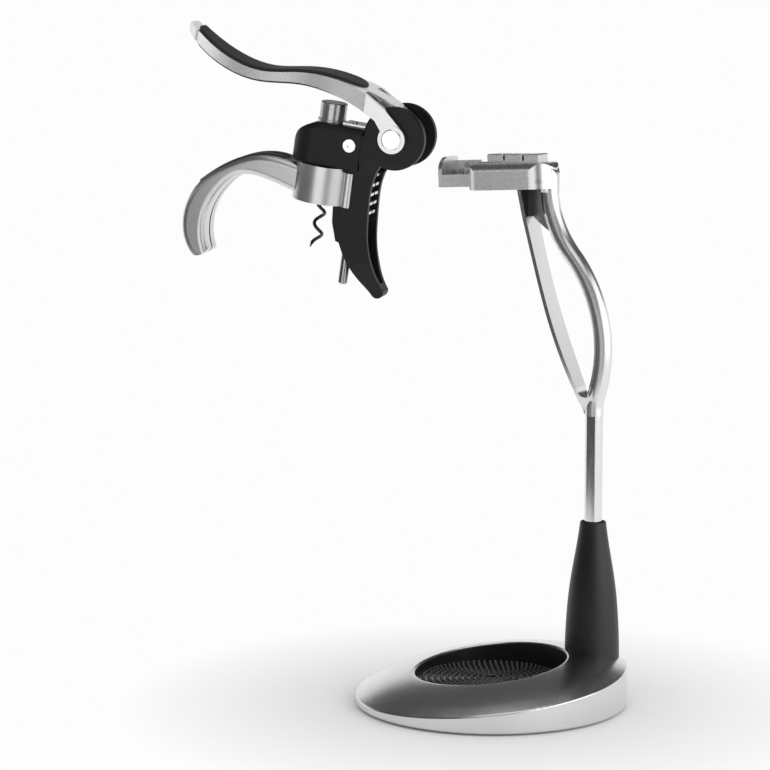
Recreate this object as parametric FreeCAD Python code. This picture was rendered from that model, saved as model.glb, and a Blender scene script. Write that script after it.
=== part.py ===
import FreeCAD, Part
import math
import os

# Counter mount corkscrew: a lever corkscrew and the counter stand that it docks on.
# Millimetres, +Z up. The origin is the centre of the base's underside on the counter,
# and +X points from the base's centre to the pole.

# Base
BASE_RADIUS = 98.5
BASE_TILT = 7.0
RIM_HEIGHT = 17.0
DOME_MID_RADIUS = 80.0
DOME_MID_HEIGHT = 24.4
RECESS_RADIUS = 55.0
RECESS_RIM_HEIGHT = 29.0
RECESS_FLOOR = 15.0
BASE_EDGE_ROUND = 1.2
UNDER_EDGE_ROUND = 1.6
RECESS_EDGE_ROUND = 1.5
COUNTER_GAP = 1.2
FOOT_RADIUS = 92.0
FOOT_CLEARANCE = 0.1
FOOT_SEAT_DEPTH = 1.2
WEIGHT_RADIUS = 49.6
WEIGHT_CLEARANCE = 0.4
WEIGHT_BOTTOM = 2.6
RECESS_FLOOR_WALL = 4.0
BASE_SCREW_CIRCLE = 38.0
BASE_SCREW_COUNT = 4
BASE_SCREW_RADIUS = 2.0
BASE_SCREW_HEAD_RADIUS = 3.8
BASE_SCREW_HEAD_HEIGHT = 2.2
BASE_SCREW_BITE = 2.6
MAT_THICKNESS = 3.0
MAT_CLEARANCE = 0.3
MAT_RIB_HEIGHT = 1.0
MAT_RIB_WIDTH = 2.0
MAT_RIB_PITCH = 4.4

# Pole and its cone
POLE_OFFSET = 76.3
POLE_RADIUS = 6.5
POLE_WALL = 1.5
POLE_TOP = 208.2
CONE_BASE_RADIUS = 19.9
CONE_BASE_HEIGHT = 32.0
CONE_LOW_RADIUS = 18.9
CONE_LOW_HEIGHT = 60.0
CONE_MID_RADIUS = 16.2
CONE_MID_HEIGHT = 87.0
CONE_HIGH_RADIUS = 12.2
CONE_HIGH_HEIGHT = 111.0
CONE_TOP_RADIUS = 9.4
CONE_TOP_HEIGHT = 130.6
CONE_WALL = 2.6
CONE_LIP = 7.0
TUBE_RADIUS = 8.2
TUBE_BORE = 7.4
TUBE_BOTTOM = 4.0
TUBE_TOP_INSET = 1.5
BUSH_LENGTH = 33.0
RUNNING_FIT = 0.05
PLUG_GAP = 2.1
PLUG_HEIGHT = 8.0
PLUG_SPIGOT_HEIGHT = 6.0

# Arm: a loop of a round rear tube and a flat front strip. Heights are above the pole's top.
ARM_YAW = -43.0
ARM_TUBE_RADIUS = 6.7
ARM_STRAIGHT = 5.0
ARM_FOOT_BEND = 31.0
ARM_FOOT_TURN = 18.0
ARM_MAIN_BEND = 105.0
ARM_LEAN = 40.0
ARM_TOP_BEND = 85.0
ARM_TOP_STRAIGHT = 2.0
SPIGOT_LENGTH = 20.0
STRIP_THICKNESS = 2.8
STRIP_HALF_WIDTH = 10.6
STRIP_HALF_WIDTHS = [
    (2.4, 0.0), (5.2, 5.0), (6.9, 13.0), (8.8, 31.8), (9.6, 80.0), (STRIP_HALF_WIDTH, 141.0),
]
STRIP_ROOT_HEIGHT = 10.0
STRIP_START = 20.0
STRIP_FRONT = [(-59.8, 168.0), (-52.4, 135.0), (-44.4, 104.0), (-30.1, 59.0), (-19.2, 32.0),
               (-9.2, STRIP_ROOT_HEIGHT)]
CROTCH_FRONT = [(-7.0, 5.0), (-9.2, STRIP_ROOT_HEIGHT), (-13.4, STRIP_START)]
CROTCH_REAR = (-10.6, STRIP_START + 0.6)
CROTCH_MIDDLE = (-5.2, 13.6)
CROTCH_TUBE_SIDE = (2.0, 19.5)
WINDOW_SILL = 141.0
SILL_THICKNESS = 1.6
INSERT_HALF_WIDTH = 9.2
INSERT_REAR = -50.0
WEB_HALF_THICKNESS = 1.6
WEB_REAR = -34.0
WEB_LOW_HEIGHT = 130.5
WEB_MIDDLE = (-43.6, 137.2)
WEB_FRONT_LOW_HEIGHT = 142.6

# Dock head, in its own frame: u runs to the rear, w up, origin at the rear of its underside
HEAD_REAR = -32.0
HEAD_HEIGHT = 163.5
HEAD_PITCH = 3.0
HEAD_HALF_WIDTH = 15.5
HEAD_FRONT = -65.0
HEAD_NOSE_HEIGHT = 10.0
HEAD_TOP_FRONT_HEIGHT = 20.5
HEAD_TOP_REAR_HEIGHT = 18.5
HEAD_TOP_EDGE_ROUND = 7.4
HEAD_NOSE_ROUND = 8.0
HEAD_REAR_CENTRE = -15.0
HEAD_BOSS_WALL = 0.8
HEAD_BOSS_DROP = 3.0
SHOE_FRONT = -89.7
SHOE_PLATE_THICKNESS = 3.0
SHOE_PLATE_TOP = 24.5
SHOE_NEAR_SHOULDER = 11.0
SHOE_FAR_SHOULDER = 2.0
SHOE_HALF_WIDTH = 13.0
SHOE_BOTTOM = 2.7
SHOE_FLOOR = 2.2
SHOE_WALL = 2.2
SHOE_NEAR_HEIGHT = 9.2
SHOE_FAR_HEIGHT = 18.5
SHOE_REAR = -42.0
SHOE_CLEARANCE = 0.1
SHOE_GROOVE_WIDTH = 0.8
SHOE_GROOVE_DEPTH = 0.5
SLIDER_FRONT = -51.0
SLIDER_REAR = -10.0
SLIDER_TRAVEL = 5.0
SLIDER_KEEL_INSET = 6.0
SLIDER_HALF_WIDTH = 8.0
SLIDER_KEEL_HALF_WIDTH = 5.0
SLIDER_KEEL_DEPTH = 3.0
SLIDER_BASE = 1.4
SLIDER_TOP = 26.0
SLIDER_GAPS = [-36.5, -21.0]
SLIDER_GAP_WIDTH = 2.0
SLIDER_GAP_RADIUS = 14.0
SLIDER_FIT = 0.2
HEAD_PIN_U = -7.6
HEAD_PIN_W = 5.6
HEAD_PIN_RADIUS = 2.2
HEAD_SCREW_U = [-56.0, -38.5]
HEAD_SCREW_RADIUS = 2.6

# Place of the corkscrew: its pivot in front of the pole and above its top, and how it is held
PIVOT_REACH = 161.5
PIVOT_HEIGHT = 197.0
CORK_YAW = -30.0
CORK_LEAN = 9.2
CORK_ROLL = 3.5

# Corkscrew frame, in the corkscrew's frame: origin on the lever's pivot, x to the rear,
# z up along the worm, y to the far side
EAR_RADIUS = 23.5
EAR_OUTER = 18.0
EAR_INNER = 12.0
EAR_EDGE_ROUND = 1.6
FRAME_FRONT = -24.1
FRAME_TOP = -29.4
SPINE_FRONT = -28.4
FOOT_FRONT = -40.6
FIN_HALF_WIDTH = 13.6
FIN_TIP_HALF_WIDTH = 6.0
SLOT_HALF_WIDTH = 10.2
SLOT_FLOOR = -80.0
AXLE_RADIUS = 5.0

# Rack and gear
GEAR_MODULE = 2.25
GEAR_TEETH = 14
PRESSURE_ANGLE = 20.0
RACK_ADDENDUM = 1.8
RACK_DEDENDUM = 2.5
GEAR_ADDENDUM = 1.8
GEAR_DEDENDUM = 2.3
BACKLASH = 0.4
RACK_BACK = 3.0
RACK_HALF_WIDTH = 9.8
RACK_TEETH = 10
RACK_GROOVE = 2.4
GEAR_HALF_WIDTH = 9.4
GEAR_FLAT = 12.4

# Carriage
WORM_AXIS = -54.0
HEAD_BLOCK_FRONT = -80.3
HEAD_BLOCK_REAR = -24.4
HEAD_BLOCK_HALF_WIDTH = 18.0
HEAD_BLOCK_TOP = 2.0
HEAD_BLOCK_SLOPE = 0.005
HEAD_BLOCK_BOTTOM = -28.8
HEAD_BLOCK_WALL = 2.5
HEAD_BLOCK_ROUND = 4.5
HEAD_BLOCK_CENTRE = -61.3
BLOCK_HALF_WIDTH = 12.0
BLOCK_BOTTOM = -25.6
BLOCK_TOP = -6.4
NECK_HALF_WIDTH = 9.4
ROD_AXIS = -29.2
ROD_RADIUS = 3.6
ROD_BOTTOM = -118.0
PLATE_THICKNESS = 2.0
PLATE_FRONT = -42.8
PLATE_REAR = -14.2
PLATE_HALF_WIDTH = 9.0
CAP_RADIUS = 10.0
CAP_TOP = 16.4
CAP_RING_RADIUS = 10.7
CAP_RING_HEIGHT = 2.6
BOLT_X = -32.8
BOLT_Z = -10.8
BOLT_HEAD_RADIUS = 5.1
BOLT_HEAD_HEIGHT = 1.3

# Worm
WORM_COIL_RADIUS = 3.35
WORM_WIRE_RADIUS = 1.3
WORM_PITCH = 16.5
WORM_START = -34.0
WORM_TURNS = 3.5
WORM_TAPER_LENGTH = 5.0
WORM_POINT_RADIUS = 0.25
WORM_STEP = 0.05
WORM_ROOT = 2.5
SHANK_RADIUS = 4.0
WORM_BUSH_RADIUS = 6.4

# Clamp halves
CLAMP_OUTER = 22.5
CLAMP_WALL = 5.0
CLAMP_TOP = -29.9
CLAMP_BOTTOM = -58.0
CLAMP_SPLIT = 0.3
JAW_THICKNESS = 2.0
KNUCKLE_X = -31.5
KNUCKLE_Y = 11.0
KNUCKLE_RADIUS = 4.4
KNUCKLE_CLEARANCE = 0.4
LUG_RADIUS = 5.0
LUG_THICKNESS = 2.4
CLAMP_ROD_ROOM = 4.2
CLAMP_PIN_RADIUS = 1.8
HANDLE_OUTER = 13.2
HANDLE_INNER = 1.2
HANDLE_ROUND = 5.0
HANDLE_TOP = [(-62.0, -35.0), (-84.0, -31.0), (-103.5, -31.4), (-128.5, -42.6), (-149.0, -60.0),
              (-158.6, -82.0), (-157.0, -103.0), (-150.0, -115.0)]
HANDLE_UNDER = [(-136.0, -110.0), (-140.0, -96.0), (-139.0, -80.0), (-130.0, -61.0), (-116.5, -49.0),
                (-98.0, -48.6), (-80.0, -52.5), (-62.0, -56.5)]
HANDLE_GRIP_THICKNESS = 1.0
HANDLE_END = (-144.6, -116.4)

# Lever
LEVER_UNDER = [(-174.6, 50.4), (-159.8, 38.4), (-140.6, 28.8), (-113.0, 23.4), (-78.5, 26.4),
               (-47.1, 22.2), (-27.0, 16.0)]
LEVER_UPPER = [(-171.0, 57.2), (-154.5, 45.8), (-135.0, 36.6), (-110.0, 31.8), (-80.0, 35.8),
               (-52.3, 36.2), (-24.7, 30.0)]
LEVER_GRIP_CROWN = [(-169.0, 58.6), (-153.0, 47.7), (-134.0, 38.8), (-108.5, 34.2), (-80.0, 38.1),
                    (-51.4, 38.3), (-25.6, 31.2)]
LEVER_TIP_HALF_WIDTH = 9.0
LEVER_TIP = (-175.4, 55.0)
LEVER_GRIP_FRONT = -165.0
LEVER_GRIP_REAR = -30.0
LEVER_SLOT_FRONT = -26.0
LEVER_BRIDGE_REAR = -16.0
LEVER_GRIP_HALF_WIDTH = 12.2
LEVER_GRIP_INSET = 2.4
LEVER_MID_HALF_WIDTH = 14.0
LEVER_ARM_OUTER = 22.4
LEVER_ARM_INNER = 18.4
LEVER_RING_RADIUS = 10.4
LEVER_RING_RIM = 1.0
UNDER_GRIP_THICKNESS = 1.5
PIVOT_CAP_RADIUS = 7.7
PIVOT_CAP_HEIGHT = 1.8

SMALL = 0.01
LONG = 400.0


def vec(x, y, z):
    return FreeCAD.Vector(x, y, z)


def rad(degrees):
    return math.radians(degrees)


def cylinder(radius, height, at, axis=(0, 0, 1)):
    return Part.makeCylinder(radius, height, vec(*at), vec(*axis))


def pipe(outer, inner, height, at, axis=(0, 0, 1)):
    return cylinder(outer, height, at, axis).cut(cylinder(inner, height, at, axis))


def block(x0, x1, y0, y1, z0, z1):
    return Part.makeBox(x1 - x0, y1 - y0, z1 - z0, vec(x0, y0, z0))


def side_point(p):
    """A point of a side view: x and z, on the middle plane."""
    return vec(p[0], 0, p[1])


def plan_point(p):
    """A point of a plan view: x and y."""
    return vec(p[0], p[1], 0)


def front_point(p):
    """A point of a front view: y and z."""
    return vec(0, p[0], p[1])


def outline(place, start, *steps):
    """A closed face. A step is a point, or a list of points that a smooth curve passes,
    or a tuple of the word arc, a middle point and an end point."""
    edges = []
    here = place(start)
    for step in steps + (start,):
        if isinstance(step, list):
            curve = Part.BSplineCurve()
            curve.interpolate([here] + [place(p) for p in step])
            edges.append(curve.toShape())
            here = place(step[-1])
            continue
        if step[0] == "arc":
            edges.append(Part.Arc(here, place(step[1]), place(step[2])).toShape())
            here = place(step[2])
            continue
        if here.distanceToPoint(place(step)) > SMALL:
            edges.append(Part.makeLine(here, place(step)))
            here = place(step)
    return Part.Face(Part.Wire(edges))


def between_y(face, y0, y1):
    """The solid of a side view between two values of y."""
    moved = face.copy()
    moved.translate(vec(0, y0, 0))
    return moved.extrude(vec(0, y1 - y0, 0))


def between_z(face, z0, z1):
    moved = face.copy()
    moved.translate(vec(0, 0, z0))
    return moved.extrude(vec(0, 0, z1 - z0))


def between_x(face, x0, x1):
    moved = face.copy()
    moved.translate(vec(x0, 0, 0))
    return moved.extrude(vec(x1 - x0, 0, 0))


def turned(profile, at=(0, 0, 0), axis=(0, 0, 1)):
    """A solid of revolution from a side view of radius and height."""
    return profile.revolve(vec(*at), vec(*axis), 360)


def rounded(shape, radius, chosen):
    """The shape with the edges that the test picks rounded."""
    edges = [edge for edge in shape.Edges if chosen(edge)]
    return shape.makeFillet(radius, edges) if edges else shape


def one_solid(shape):
    """The largest solid of a shape, with seams between like faces removed."""
    solids = shape.Solids
    best = max(solids, key=lambda solid: solid.Volume)
    return best.removeSplitter()


def group(solids):
    return Part.makeCompound([solid for shape in solids for solid in shape.Solids])


def mirrored(shape):
    return shape.mirror(vec(0, 0, 0), vec(0, 1, 0))


def offset_curve(points, distance):
    """The points moved to the left of their direction of travel."""
    moved = []
    for i, (x, z) in enumerate(points):
        x0, z0 = points[max(i - 1, 0)]
        x1, z1 = points[min(i + 1, len(points) - 1)]
        length = math.hypot(x1 - x0, z1 - z0)
        moved.append((x - distance * (z1 - z0) / length, z + distance * (x1 - x0) / length))
    return moved


# Base

def dome():
    """The sloped top of the base, as everything under it."""
    deep = -60.0
    slope = (RECESS_RIM_HEIGHT - RIM_HEIGHT) / (BASE_RADIUS - RECESS_RADIUS)
    beyond = BASE_RADIUS + 10.0
    face = outline(
        side_point,
        (0, deep),
        (0, RECESS_RIM_HEIGHT),
        (RECESS_RADIUS, RECESS_RIM_HEIGHT),
        ("arc", (DOME_MID_RADIUS, DOME_MID_HEIGHT), (beyond, RIM_HEIGHT - 1.4 * slope * 10.0)),
        (beyond, deep),
    )
    shape = turned(face)
    shape.rotate(vec(0, 0, 0), vec(0, 1, 0), -BASE_TILT)
    return shape


def base_screw_places():
    angles = [rad((i + 0.5) * 360.0 / BASE_SCREW_COUNT) for i in range(BASE_SCREW_COUNT)]
    return [(BASE_SCREW_CIRCLE * math.cos(a), BASE_SCREW_CIRCLE * math.sin(a)) for a in angles]


def make_base():
    body = cylinder(BASE_RADIUS, LONG, (0, 0, COUNTER_GAP)).common(dome())
    across = 1.9 * BASE_RADIUS
    body = rounded(
        body,
        BASE_EDGE_ROUND,
        lambda e: e.BoundBox.ZMin > COUNTER_GAP + 1 and e.BoundBox.XLength > across,
    )
    body = rounded(
        body,
        UNDER_EDGE_ROUND,
        lambda e: e.BoundBox.ZMax < COUNTER_GAP + SMALL and e.BoundBox.XLength > across
    )
    body = body.cut(cylinder(RECESS_RADIUS, LONG, (0, 0, RECESS_FLOOR)))
    body = rounded(
        body,
        RECESS_EDGE_ROUND,
        lambda e: e.BoundBox.ZMin > RECESS_FLOOR + 1 and abs(e.BoundBox.YLength - 2 * RECESS_RADIUS) < 1,
    )
    pocket_top = RECESS_FLOOR - RECESS_FLOOR_WALL
    body = body.cut(
        cylinder(WEIGHT_RADIUS + WEIGHT_CLEARANCE, pocket_top - COUNTER_GAP, (0, 0, COUNTER_GAP))
    )
    body = body.cut(cylinder(TUBE_RADIUS, LONG, (POLE_OFFSET, 0, TUBE_BOTTOM)))
    foot_top = COUNTER_GAP + FOOT_SEAT_DEPTH
    foot = cylinder(FOOT_RADIUS, foot_top, (0, 0, 0))
    body = body.cut(cylinder(FOOT_RADIUS + FOOT_CLEARANCE, foot_top, (0, 0, 0)))
    weight = cylinder(WEIGHT_RADIUS, pocket_top - WEIGHT_BOTTOM, (0, 0, WEIGHT_BOTTOM))
    screws = []
    for x, y in base_screw_places():
        shank_top = pocket_top + BASE_SCREW_BITE
        shank = cylinder(BASE_SCREW_RADIUS, shank_top - WEIGHT_BOTTOM, (x, y, WEIGHT_BOTTOM))
        head = cylinder(BASE_SCREW_HEAD_RADIUS, BASE_SCREW_HEAD_HEIGHT, (x, y, WEIGHT_BOTTOM))
        screw = shank.fuse(head)
        body = body.cut(screw)
        weight = weight.cut(screw)
        socket = cylinder(1.5, 1.2, (x, y, WEIGHT_BOTTOM))
        screws.append(screw.cut(socket))
    mat_radius = RECESS_RADIUS - MAT_CLEARANCE
    mat_top = RECESS_FLOOR + MAT_THICKNESS
    mat = cylinder(mat_radius, MAT_THICKNESS, (0, 0, RECESS_FLOOR))
    rib = MAT_RIB_PITCH
    while rib + MAT_RIB_WIDTH < mat_radius:
        mat = mat.fuse(pipe(rib + MAT_RIB_WIDTH, rib, MAT_RIB_HEIGHT, (0, 0, mat_top)))
        rib += MAT_RIB_PITCH
    return {
        "base_casting": one_solid(body),
        "base_foot": foot,
        "base_weight": weight,
        "base_screws": group(screws),
        "bottle_mat": one_solid(mat),
    }


def make_cone():
    """The black cone, the steel tube inside it and the tube's bush."""
    tube_top = CONE_TOP_HEIGHT - TUBE_TOP_INSET
    outer = outline(
        side_point,
        (0, 0),
        (CONE_BASE_RADIUS, 0),
        (CONE_BASE_RADIUS, CONE_BASE_HEIGHT),
        [(CONE_LOW_RADIUS, CONE_LOW_HEIGHT), (CONE_MID_RADIUS, CONE_MID_HEIGHT),
         (CONE_HIGH_RADIUS, CONE_HIGH_HEIGHT), (CONE_TOP_RADIUS, CONE_TOP_HEIGHT)],
        (0, CONE_TOP_HEIGHT),
    )
    inner_top = CONE_TOP_HEIGHT - CONE_LIP
    inner = outline(
        side_point,
        (0, -1),
        (CONE_BASE_RADIUS - CONE_WALL, -1),
        (CONE_BASE_RADIUS - CONE_WALL, CONE_BASE_HEIGHT),
        [(CONE_LOW_RADIUS - CONE_WALL, CONE_LOW_HEIGHT), (CONE_MID_RADIUS - CONE_WALL, CONE_MID_HEIGHT),
         (TUBE_RADIUS + 0.6, inner_top)],
        (0, inner_top),
    )
    cone = turned(outer)
    cone = rounded(cone, 0.8, lambda e: e.BoundBox.ZMin > CONE_TOP_HEIGHT - SMALL)
    cone = cone.cut(turned(inner)).cut(cylinder(TUBE_RADIUS, LONG, (0, 0, 0)))
    cone.translate(vec(POLE_OFFSET, 0, 0))
    cone = cone.cut(dome())
    tube = pipe(TUBE_RADIUS, TUBE_BORE, tube_top - TUBE_BOTTOM, (POLE_OFFSET, 0, TUBE_BOTTOM))
    bush_bottom = tube_top - BUSH_LENGTH
    bush = pipe(TUBE_BORE, POLE_RADIUS + RUNNING_FIT, BUSH_LENGTH, (POLE_OFFSET, 0, bush_bottom))
    return {"cone_sleeve": one_solid(cone), "guide_tube": tube, "upper_bush": bush}


def pole_bottom():
    """The height of the pole's lower end, just under the bush."""
    return CONE_TOP_HEIGHT - TUBE_TOP_INSET - BUSH_LENGTH - PLUG_GAP


def make_pole():
    """The pole and its lower plug, upright at the pole's place."""
    at = (POLE_OFFSET, 0)
    bottom = pole_bottom()
    plug = cylinder(TUBE_BORE - RUNNING_FIT, PLUG_HEIGHT, (*at, bottom - PLUG_HEIGHT))
    spigot = cylinder(POLE_RADIUS - POLE_WALL - RUNNING_FIT, PLUG_SPIGOT_HEIGHT, (*at, bottom))
    pole = pipe(POLE_RADIUS, POLE_RADIUS - POLE_WALL, POLE_TOP - bottom, (*at, bottom))
    return {"pole_plug": plug.fuse(spigot).removeSplitter(), "pole": pole}


# Arm, in its own frame: x to the rear, origin at the pole's top

def arm_path():
    """The rear tube's centre line: a straight, three tangent arcs and a straight."""
    start = vec(0, 0, 0)
    turns = [
        (ARM_FOOT_BEND, 0.0, -ARM_FOOT_TURN),
        (ARM_MAIN_BEND, -ARM_FOOT_TURN, ARM_LEAN),
        (ARM_TOP_BEND, ARM_LEAN, 0.0),
    ]
    here = vec(0, 0, ARM_STRAIGHT)
    edges = [Part.makeLine(start, here)]
    for radius, first, last in turns:
        side = 1.0 if last > first else -1.0

        def along(angle):
            dx = math.cos(rad(angle)) - math.cos(rad(first))
            dz = math.sin(rad(angle)) - math.sin(rad(first))
            return here + vec(side * radius * dx, 0, side * radius * dz)

        middle = along((first + last) / 2.0)
        end = along(last)
        edges.append(Part.Arc(here, middle, end).toShape())
        here = end
    top = here + vec(0, 0, ARM_TOP_STRAIGHT)
    edges.append(Part.makeLine(here, top))
    return Part.Wire(edges), top


def tube_solid():
    path, top = arm_path()
    ring = Part.Wire(Part.makeCircle(ARM_TUBE_RADIUS, vec(0, 0, 0), vec(0, 0, 1)))
    return path.makePipeShell([ring], True, False), top


def strip_band(thickness, start=0):
    """The side view of the front strip."""
    front = STRIP_FRONT[start:]
    rear = offset_curve(front, thickness)
    return outline(side_point, front[0], front[1:], rear[-1], rear[-2::-1])


def make_arm(housing):
    tube, top = tube_solid()
    crotch = outline(
        side_point,
        (-POLE_RADIUS + 0.4, 0.0),
        CROTCH_FRONT,
        CROTCH_REAR,
        ("arc", CROTCH_MIDDLE, CROTCH_TUBE_SIDE),
        (CROTCH_TUBE_SIDE[0], 0.0),
    )
    left = [(-y, z) for y, z in STRIP_HALF_WIDTHS]
    width = outline(
        front_point,
        left[0],
        left[1:],
        (-STRIP_HALF_WIDTH, LONG),
        (STRIP_HALF_WIDTH, LONG),
        STRIP_HALF_WIDTHS[-1],
        STRIP_HALF_WIDTHS[-2::-1],
    )
    width = between_x(width, -LONG, LONG)
    web = between_y(crotch, -STRIP_HALF_WIDTH, STRIP_HALF_WIDTH).common(width)
    spigot = cylinder(POLE_RADIUS - POLE_WALL - RUNNING_FIT, SPIGOT_LENGTH, (0, 0, -SPIGOT_LENGTH))
    strip = between_y(strip_band(STRIP_THICKNESS), -STRIP_HALF_WIDTH, STRIP_HALF_WIDTH).common(width)
    strip = strip.cut(block(-LONG, LONG, -LONG, LONG, -LONG, STRIP_START))
    sill_top = WINDOW_SILL + SILL_THICKNESS
    half = STRIP_HALF_WIDTH
    sill = block(STRIP_FRONT[0][0], INSERT_REAR, -half, half, WINDOW_SILL, sill_top)
    in_front = outline(
        side_point,
        STRIP_FRONT[0],
        STRIP_FRONT[1:],
        (-LONG, STRIP_FRONT[-1][1]),
        (-LONG, STRIP_FRONT[0][1]),
    )
    in_front = between_y(in_front, -LONG, LONG)
    strip = strip.fuse(sill.cut(in_front))
    into_head = HEAD_HEIGHT + 4
    insert = block(
        STRIP_FRONT[0][0], INSERT_REAR, -INSERT_HALF_WIDTH, INSERT_HALF_WIDTH, sill_top, into_head,
    )
    insert = insert.cut(in_front).cut(strip).cut(housing)
    body = tube.fuse(web).fuse(spigot)
    strip = strip.cut(body).cut(housing)
    gusset = outline(
        side_point,
        (INSERT_REAR, into_head),
        (INSERT_REAR, WEB_FRONT_LOW_HEIGHT),
        ("arc", WEB_MIDDLE, (WEB_REAR, WEB_LOW_HEIGHT)),
        (WEB_REAR, into_head),
    )
    gusset = between_y(gusset, -WEB_HALF_THICKNESS, WEB_HALF_THICKNESS).cut(body).cut(housing).cut(strip)
    return {
        "arm_tube": one_solid(body),
        "arm_strip": one_solid(strip),
        "strip_insert": one_solid(insert),
        "arm_web": one_solid(gusset),
    }


# Dock head, first in its own frame and then placed in the arm's

def place_head(shape):
    """Moves a solid from the head's frame to the arm's."""
    placed = shape.copy()
    placed.rotate(vec(0, 0, 0), vec(0, 1, 0), -HEAD_PITCH)
    placed.translate(vec(HEAD_REAR, 0, HEAD_HEIGHT))
    return placed


def place_in_head(shape):
    """Moves a solid from the arm's frame to the head's."""
    placed = shape.copy()
    placed.translate(vec(-HEAD_REAR, 0, -HEAD_HEIGHT))
    placed.rotate(vec(0, 0, 0), vec(0, 1, 0), HEAD_PITCH)
    return placed


def head_top(u):
    """The height of the head's flat top at a place along it."""
    share = (u - SLIDER_FRONT) / (SLIDER_REAR - SLIDER_FRONT)
    return HEAD_TOP_FRONT_HEIGHT + share * (HEAD_TOP_REAR_HEIGHT - HEAD_TOP_FRONT_HEIGHT)


def rounded_corner(corner, to_start, to_end, radius):
    """The three points of a rounded corner: its start, its middle and its end."""
    cx, cy = corner
    start = (cx + to_start[0] * radius, cy + to_start[1] * radius)
    end = (cx + to_end[0] * radius, cy + to_end[1] * radius)
    inset = 1.0 - math.sqrt(0.5)
    middle = (
        cx + (to_start[0] + to_end[0]) * radius * inset, cy + (to_start[1] + to_end[1]) * radius * inset,
    )
    return start, middle, end


def head_section():
    """The head's front view, with rounded shoulders."""
    half = HEAD_HALF_WIDTH
    top = HEAD_TOP_FRONT_HEIGHT + 0.2
    left = rounded_corner((-half, top), (0, -1), (1, 0), HEAD_TOP_EDGE_ROUND)
    right = rounded_corner((half, top), (-1, 0), (0, -1), HEAD_TOP_EDGE_ROUND)
    return outline(
        front_point,
        (-half, -10),
        left[0],
        ("arc", left[1], left[2]),
        right[0],
        ("arc", right[1], right[2]),
        (half, -10),
    )


def head_plan_view():
    """The head's plan view, with rounded front corners and a half-round rear end."""
    half = HEAD_HALF_WIDTH
    front = HEAD_FRONT - 1.5
    left = rounded_corner((front, -half), (0, 1), (1, 0), HEAD_NOSE_ROUND)
    right = rounded_corner((front, half), (1, 0), (0, -1), HEAD_NOSE_ROUND)
    return outline(
        plan_point,
        (HEAD_REAR_CENTRE, half),
        right[0],
        ("arc", right[1], right[2]),
        left[0],
        ("arc", left[1], left[2]),
        (HEAD_REAR_CENTRE, -half),
        ("arc", (HEAD_REAR_CENTRE + half, 0), (HEAD_REAR_CENTRE, half)),
    )


def make_head():
    rear = 1.2
    face = outline(
        side_point,
        (HEAD_FRONT + 2.5, 0),
        (HEAD_FRONT, 2.2),
        (HEAD_FRONT - 0.6, HEAD_NOSE_HEIGHT),
        (
            "arc",
            (HEAD_FRONT + 3.4, HEAD_TOP_FRONT_HEIGHT - 2.2),
            (SLIDER_FRONT - 4.0, HEAD_TOP_FRONT_HEIGHT),
        ),
        (SLIDER_REAR + 2.0, head_top(SLIDER_REAR + 2.0)),
        ("arc", (rear - 1.4, HEAD_TOP_REAR_HEIGHT - 3.0), (rear + 0.8, HEAD_TOP_REAR_HEIGHT - 9.0)),
        ("arc", (rear + 0.8, 4.5), (rear - 0.6, 0)),
    )
    body = between_y(face, -HEAD_HALF_WIDTH, HEAD_HALF_WIDTH)
    body = body.common(between_x(head_section(), -LONG, LONG))
    body = body.common(between_z(head_plan_view(), -LONG, LONG))
    fit = SHOE_CLEARANCE
    pocket = block(
        HEAD_FRONT - 10,
        SHOE_REAR + fit,
        -SHOE_HALF_WIDTH - fit,
        SHOE_HALF_WIDTH + fit,
        SHOE_BOTTOM,
        SHOE_BOTTOM + SHOE_NEAR_HEIGHT + fit,
    )
    body = body.cut(pocket)
    keel_bottom = HEAD_TOP_REAR_HEIGHT - SLIDER_KEEL_DEPTH
    slot = block(
        SLIDER_FRONT + SLIDER_KEEL_INSET - SLIDER_FIT,
        SLIDER_REAR - SLIDER_KEEL_INSET + SLIDER_TRAVEL + SLIDER_FIT,
        -SLIDER_KEEL_HALF_WIDTH - SLIDER_FIT,
        SLIDER_KEEL_HALF_WIDTH + SLIDER_FIT,
        keel_bottom - SLIDER_FIT,
        LONG,
    )
    pin = cylinder(
        HEAD_PIN_RADIUS, 2 * HEAD_HALF_WIDTH, (HEAD_PIN_U, -HEAD_HALF_WIDTH, HEAD_PIN_W), (0, 1, 0),
    )
    pin = pin.common(body)
    tube, top = tube_solid()
    boss = cylinder(
        ARM_TUBE_RADIUS + HEAD_BOSS_WALL,
        HEAD_BOSS_DROP + HEAD_TOP_REAR_HEIGHT,
        (top.x, 0, HEAD_HEIGHT - HEAD_BOSS_DROP),
    )
    cover = outline(
        side_point,
        (SLIDER_REAR - 10.0, -LONG),
        (SLIDER_REAR - 10.0, head_top(SLIDER_REAR) - 4.0),
        (SLIDER_REAR + 2.0, head_top(SLIDER_REAR + 2.0) - 1.0),
        ("arc", (rear - 1.8, HEAD_TOP_REAR_HEIGHT - 4.0), (rear + 0.5, HEAD_TOP_REAR_HEIGHT - 9.0)),
        (rear + 0.5, -LONG),
    )
    body = body.fuse(place_in_head(boss).common(between_y(cover, -LONG, LONG)))
    body = body.cut(slot)
    body = body.cut(place_in_head(tube))
    body = body.cut(pin)
    screws = []
    for u in HEAD_SCREW_U:
        shank = cylinder(HEAD_SCREW_RADIUS * 0.55, SHOE_BOTTOM + SHOE_FLOOR + 0.2, (u, 0, 0))
        head = cylinder(HEAD_SCREW_RADIUS, 1.6, (u, 0, -0.2))
        screws.append(shank.fuse(head).removeSplitter())
        body = body.cut(screws[-1])
    return one_solid(body), pin, group(screws)


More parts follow.
